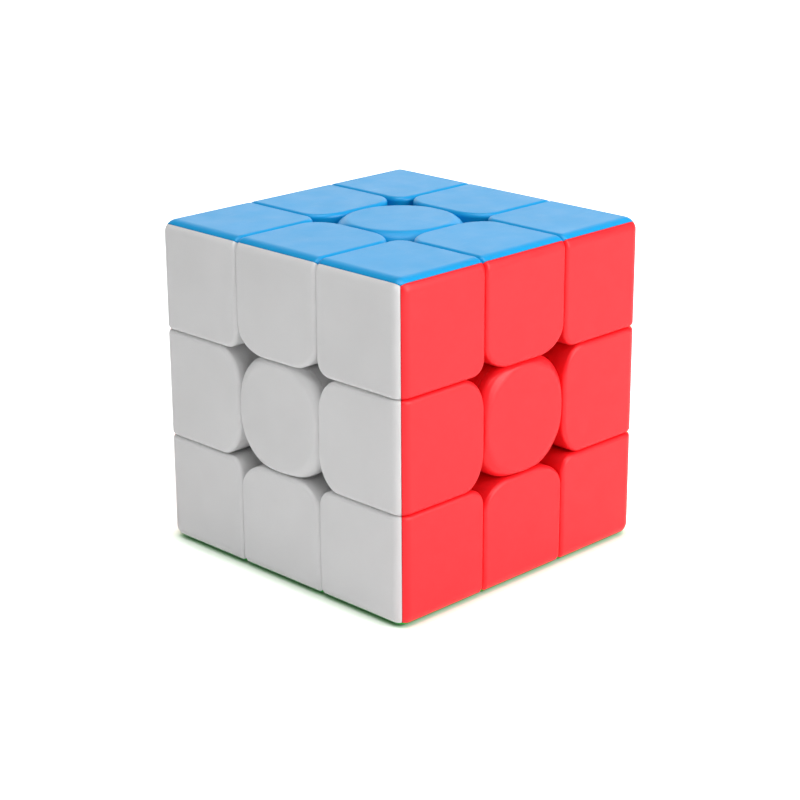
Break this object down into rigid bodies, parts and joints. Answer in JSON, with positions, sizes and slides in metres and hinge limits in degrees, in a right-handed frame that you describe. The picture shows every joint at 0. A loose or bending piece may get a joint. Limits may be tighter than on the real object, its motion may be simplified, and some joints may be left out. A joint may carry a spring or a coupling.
{
  "type": "twisty puzzle cube",
  "caption": "Stickerless twisty puzzle cube: coloured corner and edge pieces locked round a core by turning centre pieces with round caps.",
  "frame": {"origin": "middle of the cube, where the six turning axes meet", "axes": "+Z out of the blue face (up), -Y out of the white face (front), +X out of the red face (right)"},
  "size_m": [0.056, 0.056, 0.056],
  "materials": {
    "blue_plastic": "moulded-in colour, fine satin texture",
    "green_plastic": "moulded-in colour, fine satin texture",
    "white_plastic": "moulded-in colour, fine satin texture",
    "yellow_plastic": "moulded-in colour, fine satin texture",
    "red_plastic": "moulded-in colour, fine satin texture",
    "orange_plastic": "moulded-in colour, fine satin texture",
    "core_plastic": "moulded, satin",
    "steel": "bright zinc plated"
  },
  "bodies": {
    "core_unit": {"core": "core_plastic", "tension_screws": "steel", "tension_springs": "steel", "spring_washers": "steel"},
    "centre_top": {"centre_blue": "blue_plastic"},
    "centre_bottom": {"centre_green": "green_plastic"},
    "centre_front": {"centre_white": "white_plastic"},
    "centre_back": {"centre_yellow": "yellow_plastic"},
    "centre_right": {"centre_red": "red_plastic"},
    "centre_left": {"centre_orange": "orange_plastic"},
    "edge_top_front": {"edge_top_front_blue": "blue_plastic", "edge_top_front_white": "white_plastic"},
    "edge_top_back": {"edge_top_back_blue": "blue_plastic", "edge_top_back_yellow": "yellow_plastic"},
    "edge_top_right": {"edge_top_right_blue": "blue_plastic", "edge_top_right_red": "red_plastic"},
    "edge_top_left": {"edge_top_left_blue": "blue_plastic", "edge_top_left_orange": "orange_plastic"},
    "edge_bottom_front": {"edge_bottom_front_green": "green_plastic", "edge_bottom_front_white": "white_plastic"},
    "edge_bottom_back": {"edge_bottom_back_green": "green_plastic", "edge_bottom_back_yellow": "yellow_plastic"},
    "edge_bottom_right": {"edge_bottom_right_green": "green_plastic", "edge_bottom_right_red": "red_plastic"},
    "edge_bottom_left": {"edge_bottom_left_green": "green_plastic", "edge_bottom_left_orange": "orange_plastic"},
    "edge_front_right": {"edge_front_right_white": "white_plastic", "edge_front_right_red": "red_plastic"},
    "edge_front_left": {"edge_front_left_white": "white_plastic", "edge_front_left_orange": "orange_plastic"},
    "edge_back_right": {"edge_back_right_yellow": "yellow_plastic", "edge_back_right_red": "red_plastic"},
    "edge_back_left": {"edge_back_left_yellow": "yellow_plastic", "edge_back_left_orange": "orange_plastic"},
    "corner_top_front_right": {"corner_top_front_right_blue": "blue_plastic", "corner_top_front_right_white": "white_plastic", "corner_top_front_right_red": "red_plastic"},
    "corner_top_front_left": {"corner_top_front_left_blue": "blue_plastic", "corner_top_front_left_white": "white_plastic", "corner_top_front_left_orange": "orange_plastic"},
    "corner_top_back_right": {"corner_top_back_right_blue": "blue_plastic", "corner_top_back_right_yellow": "yellow_plastic", "corner_top_back_right_red": "red_plastic"},
    "corner_top_back_left": {"corner_top_back_left_blue": "blue_plastic", "corner_top_back_left_yellow": "yellow_plastic", "corner_top_back_left_orange": "orange_plastic"},
    "corner_bottom_front_right": {"corner_bottom_front_right_green": "green_plastic", "corner_bottom_front_right_white": "white_plastic", "corner_bottom_front_right_red": "red_plastic"},
    "corner_bottom_front_left": {"corner_bottom_front_left_green": "green_plastic", "corner_bottom_front_left_white": "white_plastic", "corner_bottom_front_left_orange": "orange_plastic"},
    "corner_bottom_back_right": {"corner_bottom_back_right_green": "green_plastic", "corner_bottom_back_right_yellow": "yellow_plastic", "corner_bottom_back_right_red": "red_plastic"},
    "corner_bottom_back_left": {"corner_bottom_back_left_green": "green_plastic", "corner_bottom_back_left_yellow": "yellow_plastic", "corner_bottom_back_left_orange": "orange_plastic"}
  },
  "joints": [
    {"name": "turn_top", "type": "hinge", "parent": "core_unit", "child": "centre_top", "pos_m": [0, 0, 0], "axis": [0, 0, 1], "continuous": true},
    {"name": "turn_bottom", "type": "hinge", "parent": "core_unit", "child": "centre_bottom", "pos_m": [0, 0, 0], "axis": [0, 0, -1], "continuous": true},
    {"name": "turn_front", "type": "hinge", "parent": "core_unit", "child": "centre_front", "pos_m": [0, 0, 0], "axis": [0, -1, 0], "continuous": true},
    {"name": "turn_back", "type": "hinge", "parent": "core_unit", "child": "centre_back", "pos_m": [0, 0, 0], "axis": [0, 1, 0], "continuous": true},
    {"name": "turn_right", "type": "hinge", "parent": "core_unit", "child": "centre_right", "pos_m": [0, 0, 0], "axis": [1, 0, 0], "continuous": true},
    {"name": "turn_left", "type": "hinge", "parent": "core_unit", "child": "centre_left", "pos_m": [0, 0, 0], "axis": [-1, 0, 0], "continuous": true},
    {"name": "edge_top_front_about_front", "type": "hinge", "parent": "centre_top", "child": "edge_top_front", "pos_m": [0, 0, 0], "axis": [0, -1, 0], "continuous": true},
    {"name": "edge_top_back_about_back", "type": "hinge", "parent": "centre_top", "child": "edge_top_back", "pos_m": [0, 0, 0], "axis": [0, 1, 0], "continuous": true},
    {"name": "edge_top_right_about_right", "type": "hinge", "parent": "centre_top", "child": "edge_top_right", "pos_m": [0, 0, 0], "axis": [1, 0, 0], "continuous": true},
    {"name": "edge_top_left_about_left", "type": "hinge", "parent": "centre_top", "child": "edge_top_left", "pos_m": [0, 0, 0], "axis": [-1, 0, 0], "continuous": true},
    {"name": "edge_bottom_front_about_bottom", "type": "hinge", "parent": "centre_front", "child": "edge_bottom_front", "pos_m": [0, 0, 0], "axis": [0, 0, -1], "continuous": true},
    {"name": "edge_bottom_back_about_bottom", "type": "hinge", "parent": "centre_back", "child": "edge_bottom_back", "pos_m": [0, 0, 0], "axis": [0, 0, -1], "continuous": true},
    {"name": "edge_bottom_right_about_bottom", "type": "hinge", "parent": "centre_right", "child": "edge_bottom_right", "pos_m": [0, 0, 0], "axis": [0, 0, -1], "continuous": true},
    {"name": "edge_bottom_left_about_bottom", "type": "hinge", "parent": "centre_left", "child": "edge_bottom_left", "pos_m": [0, 0, 0], "axis": [0, 0, -1], "continuous": true},
    {"name": "edge_front_right_about_right", "type": "hinge", "parent": "centre_front", "child": "edge_front_right", "pos_m": [0, 0, 0], "axis": [1, 0, 0], "continuous": true},
    {"name": "edge_front_left_about_front", "type": "hinge", "parent": "centre_left", "child": "edge_front_left", "pos_m": [0, 0, 0], "axis": [0, -1, 0], "continuous": true},
    {"name": "edge_back_right_about_back", "type": "hinge", "parent": "centre_right", "child": "edge_back_right", "pos_m": [0, 0, 0], "axis": [0, 1, 0], "continuous": true},
    {"name": "edge_back_left_about_left", "type": "hinge", "parent": "centre_back", "child": "edge_back_left", "pos_m": [0, 0, 0], "axis": [-1, 0, 0], "continuous": true},
    {"name": "corner_top_front_right_about_front", "type": "hinge", "parent": "edge_top_right", "child": "corner_top_front_right", "pos_m": [0, 0, 0], "axis": [0, -1, 0], "continuous": true},
    {"name": "corner_top_front_left_about_front", "type": "hinge", "parent": "edge_top_left", "child": "corner_top_front_left", "pos_m": [0, 0, 0], "axis": [0, -1, 0], "continuous": true},
    {"name": "corner_top_back_right_about_back", "type": "hinge", "parent": "edge_top_right", "child": "corner_top_back_right", "pos_m": [0, 0, 0], "axis": [0, 1, 0], "continuous": true},
    {"name": "corner_top_back_left_about_back", "type": "hinge", "parent": "edge_top_left", "child": "corner_top_back_left", "pos_m": [0, 0, 0], "axis": [0, 1, 0], "continuous": true},
    {"name": "corner_bottom_front_right_about_front", "type": "hinge", "parent": "edge_bottom_right", "child": "corner_bottom_front_right", "pos_m": [0, 0, 0], "axis": [0, -1, 0], "continuous": true},
    {"name": "corner_bottom_front_left_about_front", "type": "hinge", "parent": "edge_bottom_left", "child": "corner_bottom_front_left", "pos_m": [0, 0, 0], "axis": [0, -1, 0], "continuous": true},
    {"name": "corner_bottom_back_right_about_back", "type": "hinge", "parent": "edge_bottom_right", "child": "corner_bottom_back_right", "pos_m": [0, 0, 0], "axis": [0, 1, 0], "continuous": true},
    {"name": "corner_bottom_back_left_about_back", "type": "hinge", "parent": "edge_bottom_left", "child": "corner_bottom_back_left", "pos_m": [0, 0, 0], "axis": [0, 1, 0], "continuous": true}
  ],
  "couplings": [
    {"joint": "edge_top_front_about_front", "follows": "turn_front", "ratio": 1},
    {"joint": "edge_top_back_about_back", "follows": "turn_back", "ratio": 1},
    {"joint": "edge_top_right_about_right", "follows": "turn_right", "ratio": 1},
    {"joint": "edge_top_left_about_left", "follows": "turn_left", "ratio": 1},
    {"joint": "edge_bottom_front_about_bottom", "follows": "turn_bottom", "ratio": 1},
    {"joint": "edge_bottom_back_about_bottom", "follows": "turn_bottom", "ratio": 1},
    {"joint": "edge_bottom_right_about_bottom", "follows": "turn_bottom", "ratio": 1},
    {"joint": "edge_bottom_left_about_bottom", "follows": "turn_bottom", "ratio": 1},
    {"joint": "edge_front_right_about_right", "follows": "turn_right", "ratio": 1},
    {"joint": "edge_front_left_about_front", "follows": "turn_front", "ratio": 1},
    {"joint": "edge_back_right_about_back", "follows": "turn_back", "ratio": 1},
    {"joint": "edge_back_left_about_left", "follows": "turn_left", "ratio": 1},
    {"joint": "corner_top_front_right_about_front", "follows": "turn_front", "ratio": 1},
    {"joint": "corner_top_front_left_about_front", "follows": "turn_front", "ratio": 1},
    {"joint": "corner_top_back_right_about_back", "follows": "turn_back", "ratio": 1},
    {"joint": "corner_top_back_left_about_back", "follows": "turn_back", "ratio": 1},
    {"joint": "corner_bottom_front_right_about_front", "follows": "turn_front", "ratio": 1},
    {"joint": "corner_bottom_front_left_about_front", "follows": "turn_front", "ratio": 1},
    {"joint": "corner_bottom_back_right_about_back", "follows": "turn_back", "ratio": 1},
    {"joint": "corner_bottom_back_left_about_back", "follows": "turn_back", "ratio": 1}
  ]
}
